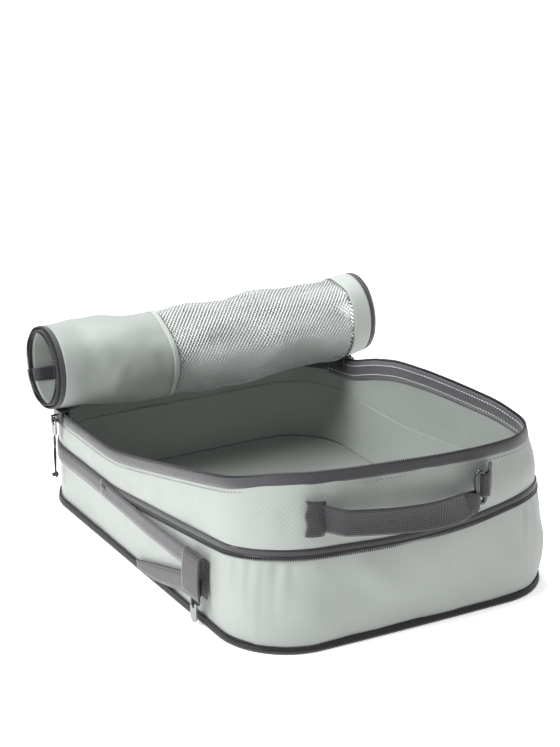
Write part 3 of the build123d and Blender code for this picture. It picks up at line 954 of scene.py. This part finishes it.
def roll_point(x, turns, lift=0.0):
    """A point of the rolled lid. x is along the roll; turns run from the back over the top and inwards."""
    angle = 2 * math.pi * turns
    middle = math.cos(math.pi * x / (2 * ROLL_HALF)) ** 0.7 if abs(x) < ROLL_HALF else 0.0
    fullness = float(smooth(turns / 0.12))
    away_from_back = (1 - math.cos(angle)) / 2
    slack = away_from_back if turns < 1 else min(away_from_back, 0.45)
    fullness *= 0.15 + 0.85 * float(smooth(away_from_back / 0.12))
    crease = fold(x / 0.050, math.cos(angle) * 1.3, math.sin(angle) * 1.3)
    drape = fold(x / 0.020 + math.cos(angle), math.cos(angle) * 1.6, math.sin(angle) * 1.6 + 4)
    fine = fold(x / 0.009 + turns, math.cos(angle) * 4.0, math.sin(angle) * 3.0 + 9)
    radius = ROLL_RADIUS - ROLL_TIGHTENING * turns + 0.0050 * middle * slack
    loose = float(smooth((ROLL_HALF - abs(x)) / 0.035))
    radius += (0.0042 * crease + 0.0015 * drape + 0.0004 * fine) * fullness * loose + lift
    y = ROLL_Y + radius * math.cos(angle)
    z = ROLL_Z + radius * math.sin(angle) * 1.02 - 0.0042 * middle * fullness
    return (x + ROLL_SHIFT + 0.0022 * turns * x / ROLL_HALF, y, z)


def roll_length():
    """Length of the spiral, from its mean radius."""
    return 2 * math.pi * (ROLL_RADIUS - ROLL_TIGHTENING * ROLL_TURNS / 2) * ROLL_TURNS


def roll_sheet(name, x0, x1, slot, replaced, columns, lift=0.0, thickness=CLOTH, turn0=0.0, drift=None):
    """A strip of the rolled lid between two places along the roll."""
    rows = int(150 * (ROLL_TURNS - turn0) / ROLL_TURNS) + 2
    grid, uv = [], []
    for turns in np.linspace(turn0, ROLL_TURNS, rows):
        shift = drift(turns) if drift else (0.0, 0.0)
        xs = np.linspace(x0 + shift[0], x1 + shift[1], columns)
        grid.append([roll_point(x, turns, lift) for x in xs])
        along = turns / ROLL_TURNS * roll_length()
        uv.append([(x, along) for x in xs])
    return cloth(name, grid, thickness, slot, "lid", replaced, False, uv, 1)


def seam_drift(turns):
    """How far the seam between the panel and the window wanders along the roll."""
    return 0.012 * turns - 0.007 + 0.0015 * math.sin(14 * turns)


def lid_edge(side):
    """Tape and coil along one side of the lid."""
    label = "left" if side < 0 else "right"
    edges = sorted((side * TAPE_START_X, side * (ROLL_HALF - 0.0022)))
    roll_sheet(f"lid_tape_cloth_{label}", *edges, "zipper_tape", (f"lid_tape_{label}",), 6, lift=0.0002)
    turns = np.linspace(0, ROLL_TURNS, 220)
    edge = np.array([roll_point(side * (ROLL_HALF - 0.0016), v) for v in turns])
    row_of_beads(f"lid_coil_{label}", edge, away_from_axis(edge), LID_TOOTH, (f"lid_chain_{label}",),
                 body="lid")
    cord = np.array([roll_point(side * (ROLL_HALF - 0.0034), v) for v in turns])
    tube(f"lid_coil_cord_{label}", cord, (0.0008, 0.0008), body="lid", sides=6, up=(1, 0, 0))


def away_from_axis(line):
    """Unit vectors from the roll's axis to the points of a line."""
    out = line * (0, 1, 1) - (0, ROLL_Y, ROLL_Z)
    return out / np.linalg.norm(out, axis=1, keepdims=True)


def make_lid():
    """The roll: panel, seam binding, net window, border, side tapes, front hem and the hinge flap."""
    panel = roll_sheet("lid_panel_cloth", -TAPE_START_X, SEAM_X, "smooth_fabric", ("lid_solid_panel",), 44,
                       drift=lambda turns: (0.0, seam_drift(turns)))
    roll_sheet("lid_seam_binding_cloth", SEAM_X - 0.0020, SEAM_X + 0.0020, "pale_binding",
               ("lid_seam_binding",), 5, lift=0.0007, thickness=0.0009,
               drift=lambda turns: (seam_drift(turns), seam_drift(turns)))
    roll_sheet("lid_border_cloth", WINDOW_END_X, TAPE_START_X, "pale_binding", ("lid_side_border",), 8,
               lift=0.0003)
    for side in (-1, 1):
        lid_edge(side)
    lid_net()
    roll_sheet("lid_front_hem", -TAPE_START_X, TAPE_START_X, "zipper_tape", (), 40, lift=-0.0009,
               turn0=ROLL_TURNS - 0.055)
    hinge_flap()


def net_strands():
    """Diagonal strands both ways over the window: places along the roll and along the spiral."""
    x0, x1 = SEAM_X + 0.001, WINDOW_END_X + 0.001
    length = roll_length()
    for family, first, last in ((1, x0, x1 + length), (-1, x0 - length, x1)):
        for start in np.arange(first, last, NET_PITCH):
            strand = [(start - family * w, w) for w in np.arange(0, length, NET_PITCH)]
            strand = [(x, w) for x, w in strand if x0 + seam_drift(w / length * ROLL_TURNS) <= x <= x1]
            if len(strand) >= 3:
                yield family, strand


def lid_net():
    """Window of net: two families of crossing strands, each a thin three-sided ribbon."""
    length = roll_length()
    points, faces, uvs = [], [], []
    section = ((1, 1), (-1, 1), (0, -1))
    for family, strand in net_strands():
        line = np.array([roll_point(x, w / length * ROLL_TURNS, 0.00012 * family) for x, w in strand])
        out = away_from_axis(line)
        side = np.cross(tangents_along(line, False), out)
        shift = len(points)
        for centre, s, o in zip(line, side, out):
            points += [centre + s * NET_HALF_WIDTH * a + o * NET_HALF_DEPTH * b for a, b in section]
        for k in range(len(line) - 1):
            for q in range(3):
                m, a = (q + 1) % 3, shift + k * 3
                faces.append([a + q, a + m, a + 3 + m, a + 3 + q])
                uvs += [strand[k], strand[k], strand[k + 1], strand[k + 1]]
        end = shift + (len(line) - 1) * 3
        faces += [[shift + 2, shift + 1, shift], [end, end + 1, end + 2]]
        uvs += [strand[0]] * 3 + [strand[-1]] * 3
    build("lid_window_net", points, faces, uvs, "mesh_fabric", "lid", ("lid_mesh_window",))


def hinge_flap():
    """Cloth from the back rim up to the roll."""
    low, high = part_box("lid_hinge_flap")
    bottom, top = low[2] - 0.006, high[2] + 0.001
    rows, cols = 22, 60
    grid, uv = [], []
    for t in np.arange(rows) / (rows - 1):
        slack = math.sin(math.pi * t)
        row = []
        for x in np.linspace(low[0] - 0.006, high[0] + 0.006, cols):
            y = high[1] + (0.0008 + 0.0012 * fold(x / 0.03, t * 1.5, 7)) * slack
            y -= 0.0008 * smooth((0.3 - t) / 0.3)
            row.append((x * (1 + 0.08 * t), y, bottom + (top - bottom) * t))
        grid.append(row)
        uv.append([(x, t * 0.042) for x in np.linspace(low[0], high[0], cols + 1)])
    flap = cloth("lid_hinge_cloth", grid, CLOTH, "ripstop_fabric", None, ("lid_hinge_flap",), False, uv, -1)
    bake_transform(flap)


# ------------ cord, hardware, stage

def make_pull_cord():
    """Two strands of cord from the left pull down to one knot."""
    low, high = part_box("left_pull_cord")
    knot_low, knot_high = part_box("left_pull_knot")
    x, y = (low[0] + high[0]) / 2, (low[1] + high[1]) / 2
    knot = knot_piece(x, y, knot_low[2], knot_high[2])
    for number, (shift, bow) in enumerate(((0.0007, 0.0010), (-0.0007, -0.0012))):
        route = [
            (x, y + shift * 0.4, high[2]),
            (x - bow * 0.3, y + shift, high[2] - 0.006),
            (x + bow, y + shift * 1.6, high[2] - 0.013),
            (x + bow * 0.6, y + shift * 1.3, high[2] - 0.022),
            (x, y + shift * 0.5, low[2] - 0.0012),
        ]
        curve = bpy.data.curves.new(f"pull_cord_{number}", "CURVE")
        curve.dimensions = "3D"
        spline = curve.splines.new("NURBS")
        spline.points.add(len(route) - 1)
        for point, spot in zip(spline.points, route):
            point.co = (*spot, 1)
        spline.order_u = 3
        spline.use_endpoint_u = True
        curve.bevel_depth = 0.0008
        curve.bevel_resolution = 3
        curve.resolution_u = 10
        curve.materials.append(MATERIALS["cord"])
        piece = add_object(f"pull_cord_{number}", curve)
        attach(piece, "left_pull")
        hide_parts("left_pull_cord")
        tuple(route[0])


def knot_piece(x, y, low, high):
    """Overhand knot: a few tight turns of cord, with two short tails below."""
    turn = np.linspace(0, 2 * math.pi, 90, endpoint=False)
    middle = (low + high) / 2
    loop = [(x + 0.0012 * (math.sin(t) + 0.9 * math.sin(2 * t)),
             y + 0.0012 * (math.cos(t) - 0.9 * math.cos(2 * t)),
             middle - 0.0009 * math.sin(3 * t)) for t in turn]
    return tube("pull_cord_knot", loop, (0.0009, 0.0009), "cord", "left_pull", ("left_pull_knot",),
                closed=True)


def dress_hardware():
    """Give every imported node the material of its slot."""
    slots = {entry["node"]: entry["material_slot"] for entry in frame["record"]["subparts"]}
    for name, node in frame["nodes"].items():
        for slot in node.material_slots:
            slot.material = MATERIALS[slots[name]]


def make_floor():
    """Pale floor, slightly bright of itself so that it renders white."""
    size = 14.0
    mesh = bpy.data.meshes.new("floor")
    corners = [(-size, -size, 0), (size, -size, 0), (size, size, 0), (-size, size, 0)]
    mesh.from_pydata(corners, [], [(0, 1, 2, 3)])
    material, shader = base_material("floor", (0.90, 0.90, 0.90), 0.9)
    shader.inputs["Emission Color"].default_value = (1, 1, 1, 1)
    shader.inputs["Emission Strength"].default_value = 0.52
    mesh.materials.append(material)
    add_object("floor", mesh)


def make_sky():
    """White at the horizon and softer grey overhead."""
    world = bpy.data.worlds.new("studio")
    world.use_nodes = True
    nodes = world.node_tree.nodes
    links = world.node_tree.links
    direction = nodes.new("ShaderNodeTexCoord")
    split = nodes.new("ShaderNodeSeparateXYZ")
    ramp = nodes.new("ShaderNodeValToRGB")
    for element, grey, height in zip(ramp.color_ramp.elements, (1.0, 0.42), (0.10, 0.40)):
        element.color = (grey, grey, grey, 1)
        element.position = height
    links.new(direction.outputs["Generated"], split.inputs[0])
    links.new(split.outputs["Z"], ramp.inputs["Fac"])
    links.new(ramp.outputs["Color"], nodes["Background"].inputs["Color"])
    bpy.context.scene.world = world


def make_stage():
    make_floor()
    make_sky()
    bpy.context.scene.view_settings.view_transform = "Standard"
    lamp("key", spot=(-1.7, -0.1, 1.5), aim=(0, 0, 0.06), size=0.9, power=46)
    lamp("top", spot=(0.1, 0.8, 1.9), aim=(0, 0.05, 0.05), size=1.1, power=36)


def lamp(name, spot, aim, size, power):
    """Round soft light that points at a place."""
    light = bpy.data.lights.new(name, "AREA")
    light.shape = "DISK"
    light.size = size
    light.energy = power
    piece = add_object(name, light)
    piece.location = spot
    piece.rotation_euler = (Vector(aim) - Vector(spot)).to_track_quat("-Z", "Y").to_euler()


CAMERA_TURN = math.radians(29.3)
CAMERA_RISE = math.radians(20.1)
CAMERA_DISTANCE = 1.70
CAMERA_FOCAL = 145.9
AIM_RIGHT, AIM_UP, AIM_Z = -0.007, 0.065, 0.060


def make_camera():
    """Camera that looks at the bag's front left corner from above."""
    turn, rise = CAMERA_TURN, CAMERA_RISE
    back = Vector((-math.sin(turn) * math.cos(rise), -math.cos(turn) * math.cos(rise), math.sin(rise)))
    right = Vector((math.cos(turn), -math.sin(turn), 0))
    up = back.cross(right)
    camera = bpy.data.cameras.new("camera")
    camera.sensor_fit = "HORIZONTAL"
    camera.sensor_width = 36
    camera.lens = CAMERA_FOCAL
    piece = add_object("camera", camera)
    piece.location = Vector((0, 0, AIM_Z)) + back * CAMERA_DISTANCE + right * AIM_RIGHT + up * AIM_UP
    piece.rotation_euler = back.to_track_quat("Z", "Y").to_euler()
    bpy.context.scene.camera = piece


make_camera()
dress_hardware()
make_pull_cord()
make_walls()
make_floor_panel()
make_expansion_zipper()
make_main_zipper()
make_leads()
make_garage_tab()
make_handle()
make_lid()
make_stage()
